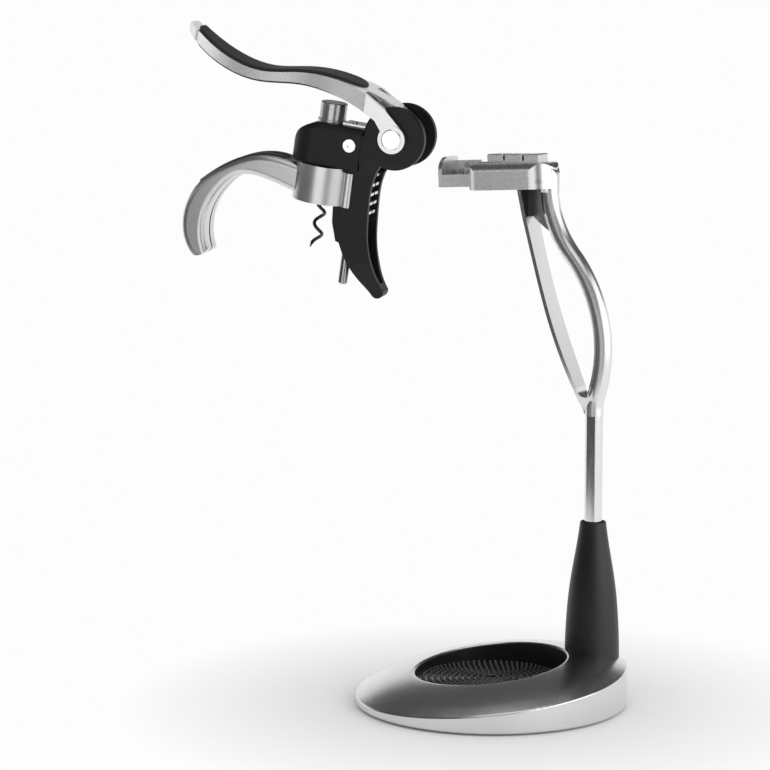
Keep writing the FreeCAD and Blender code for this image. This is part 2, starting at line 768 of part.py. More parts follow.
def make_shoe(screws):
    """The tray in front of the head, with its tall front plate and far wall."""
    half = SHOE_HALF_WIDTH
    floor = block(SHOE_FRONT, SHOE_REAR, -half, half, SHOE_BOTTOM, SHOE_BOTTOM + SHOE_FLOOR)
    near = block(
        SHOE_FRONT, SHOE_REAR, -half, -half + SHOE_WALL, SHOE_BOTTOM, SHOE_BOTTOM + SHOE_NEAR_HEIGHT,
    )
    far_low = mirrored(near)
    far = block(
        SHOE_FRONT, HEAD_FRONT - 1.2, half - SHOE_WALL, half, SHOE_BOTTOM, SHOE_BOTTOM + SHOE_FAR_HEIGHT,
    )
    plate = outline(
        front_point,
        (-half, SHOE_BOTTOM),
        (-half, SHOE_PLATE_TOP - SHOE_NEAR_SHOULDER),
        ("arc",
         (-half + 0.29 * SHOE_NEAR_SHOULDER, SHOE_PLATE_TOP - 0.29 * SHOE_NEAR_SHOULDER),
         (-half + SHOE_NEAR_SHOULDER, SHOE_PLATE_TOP)),
        (half - SHOE_FAR_SHOULDER, SHOE_PLATE_TOP),
        ("arc",
         (half - 0.29 * SHOE_FAR_SHOULDER, SHOE_PLATE_TOP - 0.29 * SHOE_FAR_SHOULDER),
         (half, SHOE_PLATE_TOP - SHOE_FAR_SHOULDER)),
        (half, SHOE_BOTTOM),
    )
    plate = between_x(plate, SHOE_FRONT, SHOE_FRONT + SHOE_PLATE_THICKNESS)
    tray = floor.fuse([near, far_low, far, plate])
    middle = SHOE_BOTTOM + 0.5 * SHOE_NEAR_HEIGHT
    groove = block(
        SHOE_FRONT + SHOE_PLATE_THICKNESS,
        SHOE_REAR,
        -half - 1,
        -half + SHOE_GROOVE_DEPTH,
        middle - SHOE_GROOVE_WIDTH / 2,
        middle + SHOE_GROOVE_WIDTH / 2,
    )
    tray = tray.cut(groove).cut(mirrored(groove))
    tray = tray.cut(screws)
    studs = []
    for u, w in ((SHOE_FRONT + 6.4, 13.0), (SHOE_FRONT + 11.5, 17.6)):
        head = cylinder(2.0, 1.0, (u, half - SHOE_WALL - 1.0, w), (0, 1, 0))
        shank = cylinder(1.0, 1.0 + SHOE_WALL * 0.7, (u, half - SHOE_WALL - 1.0, w), (0, 1, 0))
        stud = head.fuse(shank)
        tray = tray.cut(stud)
        studs.append(stud.cut(cylinder(0.8, 0.5, (u, half - SHOE_WALL - 1.0, w), (0, 1, 0))))
    return one_solid(tray), group(studs)


def make_slider():
    """The thumb piece on the head: a keel in the slot and three ribbed segments."""
    half = SLIDER_HALF_WIDTH
    top = outline(
        side_point,
        (SLIDER_FRONT, head_top(SLIDER_FRONT)),
        (SLIDER_FRONT, SLIDER_TOP),
        (SLIDER_REAR, SLIDER_TOP - 1.0),
        (SLIDER_REAR, head_top(SLIDER_REAR)),
    )
    body = between_y(top, -half, half)
    body = rounded(body, 1.0, lambda e: e.BoundBox.ZMin > SLIDER_TOP - 1.5)
    for gap in SLIDER_GAPS:
        centre = gap - SLIDER_GAP_RADIUS
        bottom = head_top(gap) + SLIDER_BASE
        arc = pipe(SLIDER_GAP_RADIUS + SLIDER_GAP_WIDTH, SLIDER_GAP_RADIUS, LONG, (centre, 0, bottom))
        ahead = block(gap - 8.0, gap + SLIDER_GAP_WIDTH + 1, -LONG, LONG, bottom, LONG)
        body = body.cut(arc.common(ahead))
    keel = block(
        SLIDER_FRONT + SLIDER_KEEL_INSET,
        SLIDER_REAR - SLIDER_KEEL_INSET,
        -SLIDER_KEEL_HALF_WIDTH,
        SLIDER_KEEL_HALF_WIDTH,
        HEAD_TOP_REAR_HEIGHT - SLIDER_KEEL_DEPTH,
        HEAD_TOP_FRONT_HEIGHT + 0.5,
    )
    return one_solid(body.fuse(keel))


# Corkscrew frame

def fin_outline():
    """The side view of the frame below the ears."""
    return outline(
        side_point,
        (FRAME_FRONT, -2.0),
        (FRAME_FRONT, FRAME_TOP),
        (SPINE_FRONT, FRAME_TOP),
        (SPINE_FRONT, CLAMP_BOTTOM - KNUCKLE_CLEARANCE),
        (FOOT_FRONT, CLAMP_BOTTOM - KNUCKLE_CLEARANCE),
        (FOOT_FRONT + 1.0, -71.0),
        (-35.6, -84.6),
        (-32.8, -85.4),
        [(-26.4, -98.0), (-16.5, -110.1), (-7.4, -117.8), (-4.0, -120.8)],
        ("arc", (2.6, -122.4), (5.0, -116.6)),
        [(0.4, -110.6), (-6.4, -97.0), (-10.8, -81.0), (-12.9, -60.0), (-12.6, -36.0), (2.0, -12.0)],
        (2.0, -2.0),
    )


def frame_front_view():
    """The front view of the frame: wide at the ears and narrow at the tip."""
    half = [
        (EAR_OUTER, 30.0),
        (EAR_OUTER, -19.0),
        (FIN_HALF_WIDTH + 0.6, -31.0),
        (FIN_HALF_WIDTH, -70.0),
        (FIN_HALF_WIDTH - 2.6, -98.0),
        (FIN_TIP_HALF_WIDTH + 0.6, -117.0),
        (FIN_TIP_HALF_WIDTH, -126.0),
    ]
    left = [(-y, z) for y, z in reversed(half)]
    return outline(front_point, half[0], *half[1:], *left)


def pitch_radius():
    return GEAR_MODULE * GEAR_TEETH / 2.0


def make_frame():
    ear = cylinder(EAR_RADIUS, 2 * EAR_OUTER, (0, -EAR_OUTER, 0), (0, 1, 0))
    ear = rounded(ear, EAR_EDGE_ROUND, lambda e: e.BoundBox.YLength < SMALL)
    body = ear.fuse(between_y(fin_outline(), -EAR_OUTER, EAR_OUTER))
    body = body.common(between_x(frame_front_view(), -LONG, LONG))
    body = one_solid(body)
    inner = EAR_INNER
    rack_back = -pitch_radius() - RACK_DEDENDUM - RACK_BACK
    body = body.cut(block(-LONG, LONG, -inner, inner, FRAME_TOP, LONG))
    body = body.cut(block(rack_back - 0.4, LONG, -SLOT_HALF_WIDTH, SLOT_HALF_WIDTH, SLOT_FLOOR, LONG))
    low_slot = outline(
        side_point,
        (-22.0, SLOT_FLOOR + 1),
        [(-17.6, -84.0), (-11.0, -98.0), (1.0, -112.0)],
        (LONG, -112.0),
        (LONG, SLOT_FLOOR + 1),
    )
    tip_inner = FIN_TIP_HALF_WIDTH - 2.6
    slot_width = outline(
        front_point,
        (-SLOT_HALF_WIDTH, SLOT_FLOOR + 1),
        (-SLOT_HALF_WIDTH + 1.4, -92.0),
        (-tip_inner, -114.0),
        (tip_inner, -114.0),
        (SLOT_HALF_WIDTH - 1.4, -92.0),
        (SLOT_HALF_WIDTH, SLOT_FLOOR + 1),
    )
    low_slot = between_y(low_slot, -SLOT_HALF_WIDTH, SLOT_HALF_WIDTH)
    body = body.cut(low_slot.common(between_x(slot_width, -LONG, LONG)))
    lug = block(
        SPINE_FRONT - 3.0,
        SPINE_FRONT + 2.0,
        -KNUCKLE_Y,
        KNUCKLE_Y,
        FRAME_TOP - LUG_THICKNESS,
        FRAME_TOP,
    )
    for side in (-1, 1):
        at = (KNUCKLE_X, side * KNUCKLE_Y, FRAME_TOP - LUG_THICKNESS)
        lug = lug.fuse(cylinder(LUG_RADIUS, LUG_THICKNESS, at))
    pins = []
    for side in (-1, 1):
        at = (KNUCKLE_X, side * KNUCKLE_Y)
        room = cylinder(
            KNUCKLE_RADIUS + KNUCKLE_CLEARANCE,
            FRAME_TOP - CLAMP_BOTTOM + KNUCKLE_CLEARANCE,
            (*at, CLAMP_BOTTOM - KNUCKLE_CLEARANCE),
        )
        body = body.cut(room)
        pins.append(cylinder(CLAMP_PIN_RADIUS, FRAME_TOP - CLAMP_BOTTOM + 6.0, (*at, CLAMP_BOTTOM - 6.0)))
    body = body.fuse(lug)
    for pin in pins:
        body = body.cut(pin)
    body = body.cut(cylinder(ROD_RADIUS + RUNNING_FIT, LONG, (ROD_AXIS, 0, FRAME_TOP + 1), (0, 0, -1)))
    axle = cylinder(AXLE_RADIUS, 2 * LEVER_ARM_OUTER - 1.0, (0, -LEVER_ARM_OUTER + 0.5, 0), (0, 1, 0))
    body = body.cut(axle)
    screws = []
    for x, z in ((-20.6, -92.0), (-6.0, -115.4)):
        shank = cylinder(1.5, 7.0, (x, 3.5, z), (0, -1, 0))
        head = cylinder(2.6, 8.0, (x, 3.5, z), (0, 1, 0))
        well = cylinder(2.6, 30.0, (x, 3.5, z), (0, 1, 0))
        screw = shank.fuse(head.common(cylinder(2.6, 1.8, (x, 3.5, z), (0, 1, 0))))
        body = body.cut(well).cut(screw)
        screws.append(screw.removeSplitter())
    near = body.common(block(-LONG, LONG, -LONG, 0, -LONG, LONG))
    far = body.common(block(-LONG, LONG, 0, LONG, -LONG, LONG))
    return {
        "near_shell": one_solid(near),
        "far_shell": one_solid(far),
        "lever_axle": axle,
        "clamp_pins": group(pins),
        "shell_screws": group(screws),
    }


# Gear and rack

def involute(radius, base):
    """The polar angle of the involute of a base circle at a radius."""
    across = math.sqrt(max(radius * radius / (base * base) - 1.0, 0.0))
    return across - math.atan(across)


def gear_face():
    """The side view of the gear, with a tooth towards the rack, which lies at -x."""
    pitch = pitch_radius()
    base = pitch * math.cos(rad(PRESSURE_ANGLE))
    tip = pitch + GEAR_ADDENDUM
    root = pitch - GEAR_DEDENDUM
    half_tooth = (math.pi * GEAR_MODULE / 2.0 - BACKLASH) / 2.0 / pitch
    at_pitch = involute(pitch, base)
    steps = 5
    face = Part.Face(Part.Wire(Part.makeCircle(root, vec(0, 0, 0), vec(0, 1, 0))))
    teeth = []
    for k in range(GEAR_TEETH):
        centre = math.pi + k * 2.0 * math.pi / GEAR_TEETH
        flank = []
        for i in range(steps + 1):
            r = base + (tip - base) * i / steps
            flank.append((r, half_tooth + at_pitch - involute(r, base)))
        inside = root - 0.5
        points = [(inside, flank[0][1])] + flank
        rising = [(r * math.cos(centre - a), r * math.sin(centre - a)) for r, a in points]
        falling = [(r * math.cos(centre + a), r * math.sin(centre + a)) for r, a in reversed(points)]
        teeth.append(outline(side_point, rising[0], *rising[1:], *falling))
    return face.fuse(teeth).removeSplitter()


def make_gear():
    body = between_y(gear_face(), -GEAR_HALF_WIDTH, GEAR_HALF_WIDTH)
    body = body.cut(cylinder(AXLE_RADIUS + RUNNING_FIT, LONG, (0, -LONG / 2, 0), (0, 1, 0)))
    body = body.cut(block(-LONG, LONG, -LONG, LONG, GEAR_FLAT, LONG))
    return one_solid(body)


def make_rack():
    """The rack, with its teeth towards the gear and a groove down the middle."""
    pitch = math.pi * GEAR_MODULE
    line = -pitch_radius()
    back = line - RACK_DEDENDUM - RACK_BACK
    top = carriage_top(line)
    bottom = -RACK_TEETH * pitch
    body = block(back, line - RACK_DEDENDUM, -RACK_HALF_WIDTH, RACK_HALF_WIDTH, bottom, top)
    lean = math.tan(rad(PRESSURE_ANGLE))
    at_line = pitch / 4.0 - BACKLASH / 4.0
    at_tip = at_line - RACK_ADDENDUM * lean
    at_root = at_line + RACK_DEDENDUM * lean
    for k in range(RACK_TEETH):
        z = (0.5 - k) * pitch
        tooth = outline(
            side_point,
            (line - RACK_DEDENDUM - 0.5, z + at_root),
            (line - RACK_DEDENDUM, z + at_root),
            (line + RACK_ADDENDUM, z + at_tip),
            (line + RACK_ADDENDUM, z - at_tip),
            (line - RACK_DEDENDUM, z - at_root),
            (line - RACK_DEDENDUM - 0.5, z - at_root),
        )
        body = body.fuse(between_y(tooth, -RACK_HALF_WIDTH, RACK_HALF_WIDTH))
    groove = block(line - RACK_DEDENDUM, LONG, -RACK_GROOVE / 2, RACK_GROOVE / 2, -LONG, -pitch)
    return one_solid(body.cut(groove))


# Carriage

def carriage_top(x):
    """The height of the head block's top at a place along it."""
    return HEAD_BLOCK_TOP + HEAD_BLOCK_SLOPE * (x - HEAD_BLOCK_REAR)


def head_outline():
    front = HEAD_BLOCK_FRONT
    return outline(
        side_point,
        (front + 1.5, HEAD_BLOCK_BOTTOM),
        ("arc", (front, HEAD_BLOCK_BOTTOM + 1.5), (front - 0.1, HEAD_BLOCK_BOTTOM + 3.0)),
        [
            (front + 0.5, -17.0),
            (front + 4.6, -7.2),
            (front + 12.0, -1.2),
            (WORM_AXIS, carriage_top(WORM_AXIS)),
        ],
        (HEAD_BLOCK_REAR, carriage_top(HEAD_BLOCK_REAR)),
        (HEAD_BLOCK_REAR, HEAD_BLOCK_BOTTOM),
    )


def head_plan():
    half = HEAD_BLOCK_HALF_WIDTH
    return outline(
        plan_point,
        (HEAD_BLOCK_REAR + 10, -half),
        (HEAD_BLOCK_CENTRE, -half),
        ("arc", (HEAD_BLOCK_FRONT - 0.2, 0), (HEAD_BLOCK_CENTRE, half)),
        (HEAD_BLOCK_REAR + 10, half),
    )


def make_carriage():
    half = HEAD_BLOCK_HALF_WIDTH
    shell = between_y(head_outline(), -half, half)
    shell = rounded(
        shell,
        HEAD_BLOCK_ROUND,
        lambda e: e.BoundBox.YLength < SMALL and e.BoundBox.ZMax > 0 and e.BoundBox.XLength > 20
    )
    shell = shell.common(between_z(head_plan(), -LONG / 2, LONG))
    wall = HEAD_BLOCK_WALL
    room = cylinder(half - wall, BLOCK_TOP - BLOCK_BOTTOM + 1.4, (HEAD_BLOCK_CENTRE, 0, BLOCK_BOTTOM - 0.6))
    room = room.fuse(
        block(HEAD_BLOCK_CENTRE, LONG, -half + wall, half - wall, BLOCK_BOTTOM - 0.6, BLOCK_TOP + 0.8)
    )
    shell = shell.cut(room)
    shell = shell.cut(cylinder(SHANK_RADIUS + 1.0, LONG, (WORM_AXIS, 0, -LONG / 2)))
    shell = shell.cut(cylinder(ROD_RADIUS, LONG, (ROD_AXIS, 0, -LONG / 2)))
    rack = make_rack()
    body = cylinder(BLOCK_HALF_WIDTH, BLOCK_TOP - BLOCK_BOTTOM, (WORM_AXIS, 0, BLOCK_BOTTOM))
    body = body.fuse(
        block(WORM_AXIS, HEAD_BLOCK_REAR, -BLOCK_HALF_WIDTH, BLOCK_HALF_WIDTH, BLOCK_BOTTOM, BLOCK_TOP)
    )
    rack_back = -pitch_radius() - RACK_DEDENDUM - RACK_BACK
    body = body.fuse(
        block(HEAD_BLOCK_REAR, rack_back, -NECK_HALF_WIDTH, NECK_HALF_WIDTH, BLOCK_BOTTOM, BLOCK_TOP)
    )
    body = body.cut(cylinder(WORM_BUSH_RADIUS, LONG, (WORM_AXIS, 0, -LONG / 2)))
    body = body.cut(cylinder(ROD_RADIUS, LONG, (ROD_AXIS, 0, -LONG / 2)))
    bush = pipe(
        WORM_BUSH_RADIUS,
        SHANK_RADIUS + RUNNING_FIT,
        BLOCK_TOP - BLOCK_BOTTOM,
        (WORM_AXIS, 0, BLOCK_BOTTOM),
    )
    rod = cylinder(ROD_RADIUS, BLOCK_TOP - ROD_BOTTOM, (ROD_AXIS, 0, ROD_BOTTOM))
    rod = rounded(rod, 1.4, lambda e: e.BoundBox.ZMax < ROD_BOTTOM + SMALL)
    bolts = []
    for side in (-1, 1):
        y = side * half
        head = cylinder(
            BOLT_HEAD_RADIUS, BOLT_HEAD_HEIGHT + 1.0, (BOLT_X, y - side * 1.0, BOLT_Z), (0, side, 0),
        )
        head = rounded(head, 0.5, lambda e: abs(abs(e.BoundBox.YMin) - half - BOLT_HEAD_HEIGHT) < SMALL)
        shank = cylinder(2.5, half - BLOCK_HALF_WIDTH + 3.0, (BOLT_X, y, BOLT_Z), (0, -side, 0))
        hexagon = Part.makePolygon(
            [
                vec(BOLT_X + 1.7 * math.cos(rad(a)), y, BOLT_Z + 1.7 * math.sin(rad(a)))
                for a in range(0, 361, 60)
            ]
        )
        socket = Part.Face(hexagon).extrude(vec(0, side * 5.0, 0))
        bolt = head.fuse(shank)
        shell = shell.cut(bolt)
        body = body.cut(bolt)
        bolts.append(bolt.cut(socket))
    top_face = outline(
        side_point,
        (PLATE_FRONT, carriage_top(PLATE_FRONT)),
        (PLATE_FRONT, carriage_top(PLATE_FRONT) + PLATE_THICKNESS),
        (PLATE_REAR, carriage_top(PLATE_REAR) + PLATE_THICKNESS),
        (PLATE_REAR, carriage_top(PLATE_REAR)),
    )
    plate = between_y(top_face, -PLATE_HALF_WIDTH, PLATE_HALF_WIDTH)
    rack = rack.cut(plate)
    screws = []
    for x, y in ((-36.0, 0.0), (-18.9, -5.0), (-18.9, 5.0)):
        top = carriage_top(x) + PLATE_THICKNESS
        screw = cylinder(2.2, 0.9, (x, y, top - 0.2)).fuse(cylinder(1.2, 6.0, (x, y, top - 5.0)))
        screw = screw.removeSplitter()
        plate = plate.cut(screw)
        rack = rack.cut(screw)
        shell = shell.cut(screw)
        screws.append(screw)
    cap_bottom = carriage_top(WORM_AXIS) - 0.6
    cap = cylinder(CAP_RADIUS, CAP_TOP - cap_bottom, (WORM_AXIS, 0, cap_bottom))
    cap = rounded(cap, 0.7, lambda e: e.BoundBox.ZMin > CAP_TOP - SMALL)
    ring = cylinder(CAP_RING_RADIUS, CAP_RING_HEIGHT, (WORM_AXIS, 0, cap_bottom))
    cap = cap.fuse(rounded(ring, 0.5, lambda e: e.BoundBox.ZMin > cap_bottom + SMALL))
    stem = cylinder(SHANK_RADIUS + 1.0, cap_bottom - BLOCK_TOP, (WORM_AXIS, 0, BLOCK_TOP))
    cap = cap.fuse(stem)
    shell = shell.cut(cap)
    near = shell.common(block(-LONG, LONG, -LONG, 0, -LONG, LONG))
    far = shell.common(block(-LONG, LONG, 0, LONG, -LONG, LONG))
    return {
        "head_near": one_solid(near),
        "head_far": one_solid(far),
        "head_bolts": group(bolts),
        "carriage_block": one_solid(body),
        "worm_bush": bush,
        "rack": one_solid(rack),
        "guide_rod": rod,
        "carriage_plate": one_solid(plate),
        "plate_screws": group(screws),
        "worm_cap": one_solid(cap),
    }


def tangent_arc(start, corner, end):
    """The arc from start to end whose tangents meet at the corner."""
    middle = (start + end) * 0.5
    half = (end - start).Length / 2.0
    lean = (corner - start).getAngle(end - start)
    outward = corner - middle
    outward.normalize()
    return Part.Arc(start, middle + outward * half * math.tan(lean / 2.0), end).toShape()


def biarc(start, start_way, end, end_way):
    """Two arcs that meet smoothly and follow the way at both ends."""
    across = end - start
    both = start_way + end_way
    turn = 2.0 * (1.0 - start_way.dot(end_way))
    along = across.dot(both)
    reach = (math.sqrt(along * along + turn * across.dot(across)) - along) / turn
    first = start + start_way * reach
    last = end - end_way * reach
    joint = (first + last) * 0.5
    return [tangent_arc(start, first, joint), tangent_arc(joint, last, end)]


def worm_point(turns):
    """A point of the worm's centre line, and the way that the line runs there."""
    angle = 2.0 * math.pi * turns
    point = vec(WORM_COIL_RADIUS * math.cos(angle), WORM_COIL_RADIUS * math.sin(angle), -WORM_PITCH * turns)
    way = vec(
        -2.0 * math.pi * WORM_COIL_RADIUS * math.sin(angle),
        2.0 * math.pi * WORM_COIL_RADIUS * math.cos(angle),
        -WORM_PITCH,
    )
    way.normalize()
    return point, way


def worm_gap():
    """The least gap between the worm's turns, measured on points half a turn apart or more."""
    steps = 48
    points = [worm_point(i / steps)[0] for i in range(int(WORM_TURNS * steps) + 1)]
    least = min(
        (points[j] - points[i]).Length for i in range(len(points)) for j in range(
            i + steps // 2, len(points),
        )
    )
    return least - 2.0 * WORM_WIRE_RADIUS


def make_worm():
    """A spiral in one unbroken tube, with a straight shank and a pointed end."""
    quarters = int(WORM_TURNS * 4)
    edges = []
    for i in range(quarters):
        edges.extend(biarc(*worm_point(i / 4.0), *worm_point((i + 1) / 4.0)))
    start, way = worm_point(0.0)
    ring = Part.Wire(Part.makeCircle(WORM_WIRE_RADIUS, start, way))
    coil = Part.Wire(edges).makePipeShell([ring], True, False)
    tip, tip_way = worm_point(quarters / 4.0)
    point = Part.makeCone(
        WORM_WIRE_RADIUS - WORM_STEP, WORM_POINT_RADIUS, WORM_TAPER_LENGTH, tip - tip_way * 0.5, tip_way,
    )
    shank = cylinder(SHANK_RADIUS, BLOCK_TOP - 0.2 - WORM_START + WORM_ROOT, (0, 0, -WORM_ROOT))
    body = coil.fuse(point).fuse(shank)
    body.translate(vec(WORM_AXIS, 0, WORM_START))
    print("worm: least gap to itself", round(worm_gap(), 2))
    return {"worm": one_solid(body)}


# Clamp halves

def make_clamp():
    """The near half ring with its barrel and handle, its jaw and its grip."""
    height = CLAMP_TOP - CLAMP_BOTTOM
    inner = CLAMP_OUTER - CLAMP_WALL
    at = (WORM_AXIS, 0, CLAMP_BOTTOM)
    near_side = block(-LONG, LONG, -LONG, -CLAMP_SPLIT, -LONG, LONG)
    ring = cylinder(CLAMP_OUTER, height, at)
    barrel = cylinder(KNUCKLE_RADIUS, height, (KNUCKLE_X, -KNUCKLE_Y, CLAMP_BOTTOM))
    handle = outline(
        side_point,
        HANDLE_TOP[0],
        HANDLE_TOP[1:],
        ("arc", HANDLE_END, HANDLE_UNDER[0]),
        HANDLE_UNDER[1:],
    )
    handle = between_y(handle, -HANDLE_OUTER, -HANDLE_INNER)
    handle = rounded(
        handle,
        HANDLE_ROUND,
        lambda e: (
            e.BoundBox.YLength < SMALL
            and abs(e.BoundBox.YMin + HANDLE_OUTER) < SMALL
            and e.BoundBox.XLength > 20
        ),
    )
    body = ring.common(near_side).fuse(barrel).fuse(handle)
    body = body.cut(cylinder(inner, LONG, (WORM_AXIS, 0, -LONG / 2)))
    body = body.cut(cylinder(CLAMP_PIN_RADIUS + RUNNING_FIT, LONG, (KNUCKLE_X, -KNUCKLE_Y, -LONG / 2)))
    body = body.cut(cylinder(CLAMP_ROD_ROOM, LONG, (ROD_AXIS, 0, -LONG / 2)))
    notch_bottom = FRAME_TOP - LUG_THICKNESS - KNUCKLE_CLEARANCE
    body = body.cut(cylinder(LUG_RADIUS + KNUCKLE_CLEARANCE, LONG, (KNUCKLE_X, -KNUCKLE_Y, notch_bottom)))
    notch_front = SPINE_FRONT - 3.0 - KNUCKLE_CLEARANCE
    body = body.cut(block(notch_front, LONG, -KNUCKLE_Y, 0, notch_bottom, LONG))
    jaw = pipe(inner, inner - JAW_THICKNESS, height - 0.8, (WORM_AXIS, 0, CLAMP_BOTTOM + 0.4)).common(
        near_side
    )
    top = HANDLE_TOP[1:5]
    crown = offset_curve(top, -HANDLE_GRIP_THICKNESS)
    grip = outline(side_point, top[0], top[1:], crown[-1], crown[-2::-1])
    grip = between_y(grip, -HANDLE_OUTER + HANDLE_ROUND, -HANDLE_INNER - 0.8)
    grip = grip.cut(body)
    return one_solid(body), one_solid(jaw), one_solid(grip)


# Lever

def lever_plan(inset):
    """The plan view of the lever, narrow at its tip and wide at its fork."""
    fork = LEVER_ARM_OUTER - inset
    middle = LEVER_MID_HALF_WIDTH - inset
    tip = LEVER_TIP_HALF_WIDTH - inset
    front = LEVER_UNDER[0][0] + 3.0 * inset
    near = [
        (-164.0, tip),
        (-148.0, tip + 2.8),
        (-105.0, middle),
        (-65.0, middle + 1.5),
        (-40.0, fork - 3.0),
        (-24.0, fork),
    ]
    far = [(x, -y) for x, y in near]
    return outline(
        plan_point,
        (30.0, -fork),
        (30.0, fork),
        near[-1],
        near[-2::-1],
        ("arc", (front, 0), far[0]),
        far[1:],
    )


def stadium(front, rear, half, front_round):
    """A plan view with a rounded front and a half-round rear."""
    left = rounded_corner((front, -half), (0, 1), (1, 0), front_round)
    right = rounded_corner((front, half), (1, 0), (0, -1), front_round)
    return outline(
        plan_point,
        (rear - half, half),
        right[0],
        ("arc", right[1], right[2]),
        left[0],
        ("arc", left[1], left[2]),
        (rear - half, -half),
        ("arc", (rear, 0), (rear - half, half)),
    )


def make_lever():
    arm_upper = [(-7.7, 20.4), (5.6, 8.75)]
    arm_lower = [(-15.0, 11.6), (-9.4, 4.5)]
    casting_under = offset_curve(LEVER_UNDER, UNDER_GRIP_THICKNESS)
    outer = LEVER_ARM_OUTER
    side = outline(
        side_point,
        casting_under[0],
        casting_under[1:],
        arm_lower[0],
        arm_lower[1],
        arm_upper[1],
        arm_upper[0],
        LEVER_UPPER[-1],
        LEVER_UPPER[-2::-1],
        ("arc", LEVER_TIP, casting_under[0]),
    )
    body = between_y(side, -outer, outer)
    body = body.common(between_z(lever_plan(0.0), -LONG / 2, LONG))
    ring = cylinder(LEVER_RING_RADIUS, 2 * outer, (0, -outer, 0), (0, 1, 0))
    rim = pipe(
        LEVER_RING_RADIUS,
        PIVOT_CAP_RADIUS,
        LEVER_RING_RIM + 1.0,
        (0, -outer - LEVER_RING_RIM, 0),
        (0, 1, 0),
    )
    body = body.fuse(ring)
    tongue = outline(
        side_point,
        (-30.0, 20.0),
        (-11.0, GEAR_FLAT),
        (8.0, GEAR_FLAT),
        (6.0, 17.0),
        (-8.0, 25.0),
        (-30.0, 32.0),
    )
    ear_room = cylinder(EAR_RADIUS + 0.6, 2 * LEVER_ARM_INNER, (0, -LEVER_ARM_INNER, 0), (0, 1, 0))
    body = body.cut(ear_room)
    for side_sign in (-1, 1):
        y0, y1 = sorted((side_sign * (GEAR_HALF_WIDTH + 1.6), side_sign * LEVER_ARM_INNER))
        body = body.cut(block(LEVER_SLOT_FRONT, LONG, y0, y1, -LONG, LONG))
    body = body.cut(block(LEVER_BRIDGE_REAR, LONG, -LEVER_ARM_INNER, LEVER_ARM_INNER, -LONG, LONG))
    tongue = between_y(tongue, -GEAR_HALF_WIDTH, GEAR_HALF_WIDTH)
    body = body.fuse([tongue, rim, mirrored(rim)])
    body = body.cut(cylinder(AXLE_RADIUS + RUNNING_FIT, 2 * outer + 2, (0, -outer - 1, 0), (0, 1, 0)))
    gear = make_gear()
    screws = []
    for y in (-5.0, 5.0):
        screw = cylinder(2.4, 30.0, (-2.0, y, 20.0)).common(cylinder(2.4, 2.0, (-2.0, y, 19.0)))
        screw = screw.fuse(cylinder(1.4, 12.5, (-2.0, y, 8.0)))
        body = body.cut(screw).cut(cylinder(2.4, 20.0, (-2.0, y, 19.0)))
        gear = gear.cut(screw)
        screws.append(screw.removeSplitter())
    crown = outline(
        side_point, LEVER_UPPER[0], LEVER_UPPER[1:], LEVER_GRIP_CROWN[-1], LEVER_GRIP_CROWN[-2::-1]
    )
    inlay = lever_plan(LEVER_GRIP_INSET)
    grip_top = between_y(crown, -outer, outer).common(between_z(inlay, -LONG / 2, LONG))
    ends = stadium(LEVER_GRIP_FRONT, LEVER_GRIP_REAR, LEVER_GRIP_HALF_WIDTH, 5.6)
    grip_top = grip_top.common(between_z(ends, -LONG / 2, LONG))
    under = outline(
        side_point, LEVER_UNDER[0], LEVER_UNDER[1:], casting_under[-1], casting_under[-2::-1]
    )
    grip_under = between_y(under, -outer, outer).common(between_z(inlay, -LONG / 2, LONG))
    grip_under = grip_under.common(block(-LONG, -31.0, -12.0, 12.0, -LONG, LONG))
    caps = []
    for sign in (-1, 1):
        cap = cylinder(PIVOT_CAP_RADIUS, PIVOT_CAP_HEIGHT, (0, sign * outer, 0), (0, sign, 0))
        cap = rounded(cap, 0.9, lambda e: abs(abs(e.BoundBox.YMin) - outer - PIVOT_CAP_HEIGHT) < SMALL)
        caps.append(cap)
    return {
        "lever_casting": one_solid(body),
        "drive_gear": one_solid(gear),
        "gear_screws": group(screws),
        "grip_top": one_solid(grip_top),
        "grip_under": one_solid(grip_under),
        "pivot_caps": group(caps),
    }


# Places

def arm_placement():
    return FreeCAD.Placement(vec(POLE_OFFSET, 0, POLE_TOP), FreeCAD.Rotation(ARM_YAW, 0, 0))


def cork_placement():
    """The corkscrew's pivot lies in front of the pole and above it, in the arm's middle plane."""
    pivot = arm_placement().multVec(vec(-PIVOT_REACH, 0, PIVOT_HEIGHT))
    return FreeCAD.Placement(pivot, FreeCAD.Rotation(CORK_YAW, CORK_LEAN, CORK_ROLL))


def placed(shape, placement):
    moved = shape.copy()
    moved.Placement = placement.multiply(moved.Placement)
    return moved


def build():
    nodes = dict(make_base())
    nodes.update(make_cone())
    nodes.update(make_pole())
    housing, pin, screws = make_head()
    tray, studs = make_shoe(screws)
    head = {
        "head_housing": housing,
        "head_pin": pin,
        "head_screws": screws,
        "dock_shoe": tray,
        "shoe_screws": studs,
        "release_slider": make_slider(),
    }
    head = {name: place_head(shape) for name, shape in head.items()}
    arm = make_arm(head["head_housing"])
    arm["arm_tube"] = one_solid(arm["arm_tube"].cut(head["head_pin"]))
    for name, shape in {**head, **arm}.items():
        nodes[name] = placed(shape, arm_placement())
    cork = dict(make_frame())
    cork.update(make_carriage())
    cork.update(make_worm())
    cork.update(make_lever())
    clamp, jaw, grip = make_clamp()
    cork["clamp_near"] = clamp
    cork["jaw_near"] = jaw
    cork["handle_grip_near"] = grip
    cork["clamp_far"] = mirrored(clamp)
    cork["jaw_far"] = mirrored(jaw)
    cork["handle_grip_far"] = mirrored(grip)
    for name, shape in cork.items():
        nodes[name] = placed(shape, cork_placement())
    return nodes


def main():
    os.makedirs("parts", exist_ok=True)
    for name, shape in build().items():
        shape.exportStep("parts/" + name + ".step")
        print(name, len(shape.Solids), round(shape.Volume), shape.isValid())


main()
